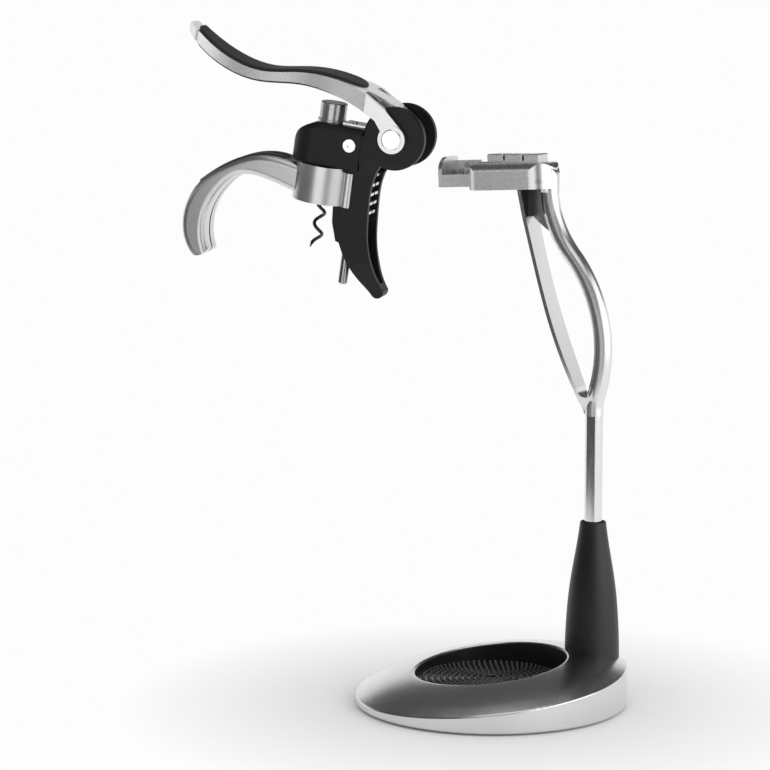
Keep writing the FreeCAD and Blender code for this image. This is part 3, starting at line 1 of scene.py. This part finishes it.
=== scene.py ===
import bpy
import bmesh
import math
from mathutils import Euler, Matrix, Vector


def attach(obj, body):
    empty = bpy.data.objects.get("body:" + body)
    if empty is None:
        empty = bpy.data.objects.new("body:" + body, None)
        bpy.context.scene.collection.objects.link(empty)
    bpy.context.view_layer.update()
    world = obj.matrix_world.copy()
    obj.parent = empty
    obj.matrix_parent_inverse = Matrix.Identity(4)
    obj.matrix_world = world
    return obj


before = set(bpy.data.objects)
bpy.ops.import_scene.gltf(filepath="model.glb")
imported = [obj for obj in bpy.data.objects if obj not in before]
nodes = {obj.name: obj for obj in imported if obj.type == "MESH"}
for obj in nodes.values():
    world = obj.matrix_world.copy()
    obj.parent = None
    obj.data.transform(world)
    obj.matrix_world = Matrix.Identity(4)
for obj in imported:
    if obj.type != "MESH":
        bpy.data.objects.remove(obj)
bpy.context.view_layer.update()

# Lengths are metres and angles degrees, in the model's frame. Lens and sensor are millimetres.
PHOTO_AZIMUTH = -13.0
CAMERA_PLACE = (-0.5435, -2.0121, 0.5237)
CAMERA_TILT = 82.05
CAMERA_LENS = 137.22
CAMERA_SENSOR = 36.0
CAMERA_NEAR = 0.05
CAMERA_FAR = 60.0

# The way the grain runs: with the arm, and with the corkscrew as it is held.
ARM_TURN = Euler((0.0, 0.0, math.radians(-43.0)), "XYZ")
CORK_TURN = Euler((math.radians(3.5), math.radians(9.2), math.radians(-30.0)), "XYZ")

# Materials. EVEN is no stretch or no tint. The base's metal is painted near black inside the bottle
# recess, as painted shade, which ends between the edge's two radii.
EVEN = (1.0, 1.0, 1.0)
COOL = (0.985, 0.99, 1.0)
NOISE_DETAIL = 3.0
BLOTCH_SCALE = 18.0
SPECK_SHARE = 0.35
# Painted shade inside the bottle recess: its two colours, roughness, grain and edge radii.
RECESS_SHADE_COLOURS = (0.006, 0.010)
RECESS_SHADE_ROUGHNESS = (0.34, 0.48)
RECESS_SHADE_GRAIN = 1500.0
RECESS_SHADE_EDGE = (0.0552, 0.0556)

# The mat of the bottle recess, and the studs on its ribs. Each of a stud's rings, from its foot up,
# is a share of its width and a share of its height.
MAT_TOP = 0.018
MAT_RADIUS = 0.0547
RIB_PITCH = 0.0044
RIB_HALF_WIDTH = 0.001
STUD_FOOT = 0.0006
STUD_SPACING = 0.0041
STUD_HALF_LENGTH = 0.00165
STUD_HALF_WIDTH = 0.0013
STUD_HEIGHT = 0.0011
STUD_SIDES = 8
STUD_RINGS = ((1.0, 0.0), (0.92, 0.45), (0.70, 0.80), (0.36, 0.97))

# Floor and world. The floor is plain up to FLOOR_FADE's first radius and gone from its second.
DISC_SEGMENTS = 96
FLOOR_RADIUS = 0.40
FLOOR_SHADE = 0.94
FLOOR_FADE = (0.10, 0.27)
SWEEP_RADIUS = 6.0
SWEEP_HEIGHT = -0.0005
WHITE = 0.98
WORLD_LIGHT = 0.62

# Lamps and flags stand round AIM. A flag is made of patches, PATCH degrees wide and high. Each gap of
# the hood, where metal sees the white world, is a middle by azimuth and elevation, and a reach.
AIM = Vector((-0.02, 0.0, 0.24))
FLAG_SHADE = 0.08
PATCH = 2.0
HOOD_DISTANCE = 2.9
HOOD_ELEVATIONS = (16.0, 90.0)
HOOD_AZIMUTHS = (-180.0, 180.0)
HOOD_GAPS = (((180.0, 82.0), 19.0), ((0.0, 52.0), 24.0))
SCREEN_DISTANCE = 0.72
SCREEN_ELEVATIONS = (-19.0, 17.0)
SCREEN_AZIMUTHS = (-116.0, 18.0)


# Camera

def make_camera():
    data = bpy.data.cameras.new("camera")
    data.sensor_width = CAMERA_SENSOR
    data.lens = CAMERA_LENS
    data.clip_start = CAMERA_NEAR
    data.clip_end = CAMERA_FAR
    camera = bpy.data.objects.new("camera", data)
    camera.location = CAMERA_PLACE
    camera.rotation_euler = (math.radians(CAMERA_TILT), 0.0, math.radians(PHOTO_AZIMUTH))
    bpy.context.scene.collection.objects.link(camera)
    bpy.context.scene.camera = camera


make_camera()


# Node helpers

def link(tree, output, target):
    tree.links.new(output, target)


def value_noise(tree, scale, stretch=EVEN, turn=None):
    """Noise over the piece's own coordinates. A stretch over 1 draws it out along an axis.

    The axes are those of the turn, where one is given.
    """
    place = tree.nodes.new("ShaderNodeTexCoord")
    mapping = tree.nodes.new("ShaderNodeMapping")
    mapping.vector_type = "TEXTURE"
    mapping.inputs["Scale"].default_value = stretch
    if turn:
        mapping.inputs["Rotation"].default_value = tuple(turn)
    texture = tree.nodes.new("ShaderNodeTexNoise")
    texture.inputs["Scale"].default_value = scale
    texture.inputs["Detail"].default_value = NOISE_DETAIL
    link(tree, place.outputs["Object"], mapping.inputs["Vector"])
    link(tree, mapping.outputs["Vector"], texture.inputs["Vector"])
    return texture.outputs["Fac"]


def spread(tree, source, low, high, start=0.3, end=0.7):
    """The source's part from start to end, mapped onto low to high. Most noise lies in 0.3 to 0.7."""
    node = tree.nodes.new("ShaderNodeMapRange")
    node.inputs["From Min"].default_value = start
    node.inputs["From Max"].default_value = end
    node.inputs["To Min"].default_value = low
    node.inputs["To Max"].default_value = high
    link(tree, source, node.inputs["Value"])
    return node.outputs["Result"]


def mixed(tree, factor, first, second):
    """A colour between two colours. Each may be a tuple or a socket.

    The node has sockets of the same name for each kind of data, so its colour sockets go by number.
    """
    node = tree.nodes.new("ShaderNodeMix")
    node.data_type = "RGBA"
    for number, value in ((0, factor), (6, first), (7, second)):
        if isinstance(value, bpy.types.NodeSocket):
            link(tree, value, node.inputs[number])
        else:
            node.inputs[number].default_value = value
    return node.outputs[2]


def rgba(shade, tint=EVEN):
    return (shade * tint[0], shade * tint[1], shade * tint[2], 1.0)


def far_from_axis(tree, edge):
    """0 near the piece's Z axis and 1 far from it, with the change between the edge's two radii."""
    place = tree.nodes.new("ShaderNodeTexCoord")
    flat = tree.nodes.new("ShaderNodeVectorMath")
    flat.operation = "MULTIPLY"
    flat.inputs[1].default_value = (1.0, 1.0, 0.0)
    link(tree, place.outputs["Object"], flat.inputs[0])
    reach = tree.nodes.new("ShaderNodeVectorMath")
    reach.operation = "LENGTH"
    link(tree, flat.outputs["Vector"], reach.inputs[0])
    return spread(tree, reach.outputs["Value"], 0.0, 1.0, *edge)


def show(tree, shader):
    """This shader is what the material shows."""
    link(tree, shader.outputs[0], tree.nodes["Material Output"].inputs["Surface"])


def show_both(tree, factor, first, second):
    """The material shows the first shader where the factor is 0, and the second where it is 1."""
    both = tree.nodes.new("ShaderNodeMixShader")
    link(tree, factor, both.inputs[0])
    link(tree, first.outputs[0], both.inputs[1])
    link(tree, second.outputs[0], both.inputs[2])
    show(tree, both)


# Materials of the object

def surface(name, shade, shade_low, metallic, rough, grain, bump, tint=EVEN, depth=0.0002,
            stretch=EVEN, turn=None, **sockets):
    """A material: a colour that varies gently, and a grain that drives its roughness and relief.

    The shader's other sockets go by name, with an underscore for each space.
    """
    material = bpy.data.materials.new(name)
    material.use_nodes = True
    tree = material.node_tree
    shader = tree.nodes["Principled BSDF"]
    shader.inputs["Metallic"].default_value = metallic
    for socket, value in sockets.items():
        shader.inputs[socket.replace("_", " ")].default_value = value
    fine = value_noise(tree, grain, stretch, turn)
    broad = value_noise(tree, BLOTCH_SCALE)
    tone = mixed(tree, spread(tree, broad, 0.0, 1.0), rgba(shade_low, tint), rgba(shade, tint))
    speck = mixed(tree, spread(tree, fine, 0.0, SPECK_SHARE), tone, rgba(shade_low, tint))
    link(tree, speck, shader.inputs["Base Color"])
    link(tree, spread(tree, fine, *rough), shader.inputs["Roughness"])
    relief = tree.nodes.new("ShaderNodeBump")
    relief.inputs["Strength"].default_value = bump
    relief.inputs["Distance"].default_value = depth
    link(tree, fine, relief.inputs["Height"])
    link(tree, relief.outputs["Normal"], shader.inputs["Normal"])
    return material


def paint_recess_shade(material):
    """Paints shade into the base's metal: near black inside the recess."""
    tree = material.node_tree
    metal = tree.nodes["Principled BSDF"]
    painted_shade = tree.nodes.new("ShaderNodeBsdfPrincipled")
    grain = value_noise(tree, RECESS_SHADE_GRAIN)
    colour = mixed(tree, spread(tree, grain, 0.0, 1.0), *(rgba(shade) for shade in RECESS_SHADE_COLOURS))
    link(tree, colour, painted_shade.inputs["Base Color"])
    link(tree, spread(tree, grain, *RECESS_SHADE_ROUGHNESS), painted_shade.inputs["Roughness"])
    # Painted shade inside the recess radius, and the base's metal outside it.
    show_both(tree, far_from_axis(tree, RECESS_SHADE_EDGE), painted_shade, metal)


# Name, shade, darker shade, metallic, roughness from and to, grain scale, bump strength, tint.
MATERIALS = {
    "satin_base": surface("satin_base", 0.76, 0.71, 1.0, (0.19, 0.26), 3000.0, 0.09, COOL),
    "satin_head": surface("satin_head", 0.74, 0.66, 1.0, (0.22, 0.32), 2600.0, 0.14, COOL),
    "arm_polish": surface("arm_polish", 0.77, 0.75, 1.0, (0.22, 0.27), 1800.0, 0.015, COOL,
                          stretch=(1.0, 1.0, 8.0), turn=ARM_TURN),
    "pole_steel": surface("pole_steel", 0.78, 0.74, 1.0, (0.11, 0.17), 1800.0, 0.05, COOL,
                          stretch=(1.0, 1.0, 14.0)),
    "lever_satin": surface("lever_satin", 0.80, 0.75, 1.0, (0.24, 0.30), 2800.0, 0.06, COOL),
    "clamp_satin": surface("clamp_satin", 0.72, 0.67, 1.0, (0.30, 0.36), 2400.0, 0.05, COOL,
                           stretch=(10.0, 10.0, 1.0), turn=CORK_TURN),
    "turned_steel": surface("turned_steel", 0.52, 0.42, 1.0, (0.20, 0.28), 2200.0, 0.08, COOL,
                            stretch=(16.0, 16.0, 1.0), turn=CORK_TURN),
    "bright_steel": surface("bright_steel", 0.80, 0.70, 1.0, (0.12, 0.24), 2200.0, 0.10, COOL,
                            stretch=(1.0, 6.0, 1.0), turn=CORK_TURN),
    "rod_steel": surface("rod_steel", 0.46, 0.38, 1.0, (0.14, 0.22), 2200.0, 0.06, COOL,
                         stretch=(1.0, 1.0, 12.0), turn=CORK_TURN),
    "small_steel": surface("small_steel", 0.62, 0.50, 1.0, (0.22, 0.36), 2200.0, 0.12, COOL),
    "chrome": surface("chrome", 0.90, 0.87, 1.0, (0.04, 0.09), 900.0, 0.02, COOL),
    "soft_black": surface("soft_black", 0.0060, 0.0045, 0.0, (0.40, 0.52), 1700.0, 0.20,
                          (1.0, 1.0, 1.04), depth=0.00025, Specular_IOR_Level=0.34),
    "cone_black": surface("cone_black", 0.0065, 0.0045, 0.0, (0.40, 0.50), 1500.0, 0.28,
                          (1.0, 1.0, 1.03), depth=0.0003, Specular_IOR_Level=0.5),
    "grip_rubber": surface("grip_rubber", 0.020, 0.013, 0.0, (0.48, 0.62), 1400.0, 0.30,
                           (1.0, 1.0, 1.02), depth=0.0003, Specular_IOR_Level=0.4,
                           Sheen_Weight=0.08, Sheen_Roughness=0.5),
    "mat_rubber": surface("mat_rubber", 0.014, 0.007, 0.0, (0.20, 0.36), 1100.0, 0.25,
                          depth=0.0003, Specular_IOR_Level=0.9),
    "inner_plastic": surface("inner_plastic", 0.06, 0.04, 0.0, (0.40, 0.55), 1600.0, 0.15),
    "worm_coat": surface("worm_coat", 0.018, 0.010, 0.0, (0.26, 0.40), 2400.0, 0.12,
                         Specular_IOR_Level=0.6),
    "cast_iron": surface("cast_iron", 0.16, 0.10, 1.0, (0.55, 0.75), 900.0, 0.5),
}

DRESS = {
    "satin_base": ["base_casting"],
    "satin_head": ["head_housing", "dock_shoe", "release_slider"],
    "arm_polish": ["arm_tube", "arm_strip", "arm_web"],
    "pole_steel": ["pole", "guide_tube"],
    "lever_satin": ["lever_casting"],
    "clamp_satin": ["clamp_near", "clamp_far", "carriage_block"],
    "turned_steel": ["worm_cap"],
    "bright_steel": ["rack", "drive_gear", "carriage_plate"],
    "rod_steel": ["guide_rod"],
    "small_steel": ["base_screws", "head_pin", "head_screws", "shoe_screws", "shell_screws",
                    "lever_axle", "clamp_pins", "gear_screws", "plate_screws"],
    "chrome": ["pivot_caps", "head_bolts"],
    "soft_black": ["near_shell", "far_shell", "head_near", "head_far", "strip_insert"],
    "cone_black": ["cone_sleeve"],
    "grip_rubber": ["grip_top", "grip_under", "handle_grip_near", "handle_grip_far"],
    "mat_rubber": ["bottle_mat", "base_foot"],
    "inner_plastic": ["upper_bush", "pole_plug", "worm_bush", "jaw_near", "jaw_far"],
    "worm_coat": ["worm"],
    "cast_iron": ["base_weight"],
}


def dress(piece, material):
    if not piece.data.materials:
        piece.data.materials.append(material)
        return
    for slot in piece.material_slots:
        slot.material = material


# Painted shade: the base's metal turns near black inside the bottle recess.
paint_recess_shade(MATERIALS["satin_base"])
for name, members in DRESS.items():
    for member in members:
        dress(nodes[member], MATERIALS[name])


# New pieces

def object_from(made, name):
    """Puts a bmesh in the scene as an object."""
    mesh = bpy.data.meshes.new(name)
    made.to_mesh(mesh)
    made.free()
    piece = bpy.data.objects.new(name, mesh)
    bpy.context.scene.collection.objects.link(piece)
    return piece


def piece_from(made, name, body, material):
    """A smooth piece from a bmesh, which rides on a body."""
    piece = object_from(made, name)
    for polygon in piece.data.polygons:
        polygon.use_smooth = True
    dress(piece, material)
    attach(piece, body)


def add_stud(made, centre, along, across):
    """A small rounded lozenge that stands on the mat."""
    loops = []
    for size, lift in STUD_RINGS:
        loop = []
        for i in range(STUD_SIDES):
            a = 2.0 * math.pi * i / STUD_SIDES
            offset = (along * (math.cos(a) * STUD_HALF_LENGTH * size)
                      + across * (math.sin(a) * STUD_HALF_WIDTH * size))
            loop.append(made.verts.new(centre + offset + Vector((0.0, 0.0, lift * STUD_HEIGHT))))
        loops.append(loop)
    for low, high in zip(loops, loops[1:]):
        for i in range(STUD_SIDES):
            after = (i + 1) % STUD_SIDES
            made.faces.new((low[i], low[after], high[after], high[i]))
    top = made.verts.new(centre + Vector((0.0, 0.0, STUD_HEIGHT)))
    for i in range(STUD_SIDES):
        made.faces.new((loops[-1][i], loops[-1][(i + 1) % STUD_SIDES], top))


def mat_studs():
    """Rings of studs on the mat's ribs, every other ring set half a stud round."""
    made = bmesh.new()
    ring = 0
    radius = RIB_PITCH + RIB_HALF_WIDTH
    while radius + RIB_HALF_WIDTH < MAT_RADIUS:
        count = round(2.0 * math.pi * radius / STUD_SPACING)
        for i in range(count):
            angle = 2.0 * math.pi * (i + 0.5 * (ring % 2)) / count
            out = Vector((math.cos(angle), math.sin(angle), 0.0))
            round_way = Vector((-math.sin(angle), math.cos(angle), 0.0))
            centre = out * radius + Vector((0.0, 0.0, MAT_TOP + STUD_FOOT))
            add_stud(made, centre, round_way, out)
        radius += RIB_PITCH
        ring += 1
    return made


piece_from(mat_studs(), "mat_studs", "base", MATERIALS["mat_rubber"])


# Floor, world, flags and lamps

def towards(azimuth, elevation):
    """A direction from the object. Azimuth 0 is towards the photo's camera, and 90 its right."""
    turn = math.radians(azimuth + PHOTO_AZIMUTH)
    lift = math.radians(elevation)
    flat = Vector((math.sin(turn), -math.cos(turn), 0.0))
    return flat * math.cos(lift) + Vector((0.0, 0.0, math.sin(lift)))


def stage_piece(made, name):
    """A stage piece from a bmesh, and the node tree of its material, which has no shader yet."""
    piece = object_from(made, name)
    material = bpy.data.materials.new(name)
    material.use_nodes = True
    tree = material.node_tree
    tree.nodes.remove(tree.nodes["Principled BSDF"])
    dress(piece, material)
    return piece, tree


def disc(name, radius, height):
    """A level stage disc, and its material's node tree."""
    made = bmesh.new()
    bmesh.ops.create_circle(made, cap_ends=True, segments=DISC_SEGMENTS, radius=radius)
    piece, tree = stage_piece(made, name)
    piece.location = (0.0, 0.0, height)
    return piece, tree


def glow(tree, shade):
    """A shader of one plain shade, which takes no light."""
    node = tree.nodes.new("ShaderNodeEmission")
    node.inputs["Color"].default_value = rgba(shade)
    return node


def make_floor():
    """The counter round the base, which fades out into a white sweep."""
    tree = disc("floor", FLOOR_RADIUS, 0.0)[1]
    lit = tree.nodes.new("ShaderNodeBsdfDiffuse")
    lit.inputs["Color"].default_value = rgba(FLOOR_SHADE)
    gone = tree.nodes.new("ShaderNodeBsdfTransparent")
    show_both(tree, far_from_axis(tree, FLOOR_FADE), lit, gone)
    sweep, tree = disc("sweep", SWEEP_RADIUS, SWEEP_HEIGHT)
    show(tree, glow(tree, WHITE))
    sweep.visible_diffuse = False
    sweep.visible_shadow = False


def seen_directly(tree):
    """1 for rays from the camera, in reflections and through glass."""
    path = tree.nodes.new("ShaderNodeLightPath")
    total = path.outputs["Is Camera Ray"]
    for name in ("Is Glossy Ray", "Is Transmission Ray"):
        more = tree.nodes.new("ShaderNodeMath")
        more.operation = "MAXIMUM"
        link(tree, total, more.inputs[0])
        link(tree, path.outputs[name], more.inputs[1])
        total = more.outputs[0]
    return total


def make_world():
    """White where it is seen directly or in metal, and a plain light otherwise."""
    world = bpy.data.worlds.new("studio")
    bpy.context.scene.world = world
    world.use_nodes = True
    tree = world.node_tree
    background = tree.nodes["Background"]
    background.inputs["Strength"].default_value = 1.0
    colour = mixed(tree, seen_directly(tree), rgba(WORLD_LIGHT), rgba(WHITE))
    link(tree, colour, background.inputs["Color"])


def in_gap(azimuth, elevation):
    """Whether this direction lies in a gap of the hood."""
    way = towards(azimuth, elevation)
    return any(math.degrees(way.angle(towards(*middle))) < reach for middle, reach in HOOD_GAPS)


def add_patches(made, distance, elevations, azimuths, left_out=None):
    """Squares of a ball round the object, in a range of elevations and one of azimuths."""
    for e in range(int((elevations[1] - elevations[0]) / PATCH)):
        for a in range(int((azimuths[1] - azimuths[0]) / PATCH)):
            azimuth = azimuths[0] + a * PATCH
            elevation = elevations[0] + e * PATCH
            if left_out and left_out(azimuth + 0.5 * PATCH, elevation + 0.5 * PATCH):
                continue
            corners = ((0, 0), (PATCH, 0), (PATCH, PATCH), (0, PATCH))
            ways = [towards(azimuth + across, elevation + up) for across, up in corners]
            made.faces.new([made.verts.new(AIM + way * distance) for way in ways])


def make_flags():
    """Dim flags, which metal sees: a hood overhead, and a screen to the left and in front."""
    made = bmesh.new()
    add_patches(made, HOOD_DISTANCE, HOOD_ELEVATIONS, HOOD_AZIMUTHS, in_gap)
    add_patches(made, SCREEN_DISTANCE, SCREEN_ELEVATIONS, SCREEN_AZIMUTHS)
    flags, tree = stage_piece(made, "flags")
    show(tree, glow(tree, FLAG_SHADE))
    flags.visible_camera = False
    flags.visible_diffuse = False
    flags.visible_transmission = False
    flags.visible_shadow = False


def softbox(name, azimuth, elevation, distance, width, height, radiance, pieces=None):
    """A rectangular lamp that faces the object, and lights only these pieces where they are given.

    Its power follows from its radiance and its area.
    """
    data = bpy.data.lights.new(name, "AREA")
    data.shape = "RECTANGLE"
    data.size = width
    data.size_y = height
    data.energy = radiance * math.pi * width * height
    lamp = bpy.data.objects.new(name, data)
    way = towards(azimuth, elevation)
    lamp.location = AIM + way * distance
    lamp.rotation_mode = "QUATERNION"
    lamp.rotation_quaternion = way.to_track_quat("Z", "Y")
    bpy.context.scene.collection.objects.link(lamp)
    lamp.visible_camera = False
    if pieces:
        group = bpy.data.collections.new(name + "_lit")
        for piece in pieces:
            group.objects.link(piece)
        lamp.light_linking.receiver_collection = group


make_floor()
make_world()
make_flags()

# What some of the lamps light: the corkscrew, and parts of the stand
CORK = [nodes[name] for name in (
    "near_shell", "far_shell", "shell_screws", "lever_axle", "clamp_pins", "lever_casting",
    "drive_gear", "gear_screws", "grip_top", "grip_under", "pivot_caps", "head_near", "head_far",
    "head_bolts", "carriage_block", "carriage_plate", "plate_screws", "rack", "guide_rod",
    "worm_cap", "worm_bush", "worm", "clamp_near", "clamp_far", "jaw_near", "jaw_far",
    "handle_grip_near", "handle_grip_far")]
DOCK = [nodes[name] for name in ("head_housing", "dock_shoe", "release_slider", "head_pin")]
ARM = [nodes[name] for name in ("arm_tube", "arm_web")]
LEVER = [nodes["lever_casting"]]
OTHERS = [piece for piece in bpy.context.scene.objects
          if piece.type == "MESH" and piece not in CORK]

# Name, azimuth, elevation, distance, width, height, radiance, and the only pieces it lights.
softbox("key", 60.0, 8.0, 2.0, 2.4, 2.2, 1.30, OTHERS)
softbox("side", -30.0, 2.0, 0.66, 0.56, 0.40, 1.15, CORK + DOCK)
softbox("front", -14.0, -2.0, 0.66, 0.60, 0.36, 0.45, ARM)
softbox("back", 165.0, 30.0, 2.0, 2.4, 1.3, 0.70, LEVER)
softbox("wing", -90.0, 2.0, 0.66, 0.76, 0.40, 0.85, LEVER + DOCK)
softbox("top", 180.0, 82.0, 2.0, 1.4, 1.4, 0.90)

bpy.context.scene.view_settings.view_transform = "Standard"
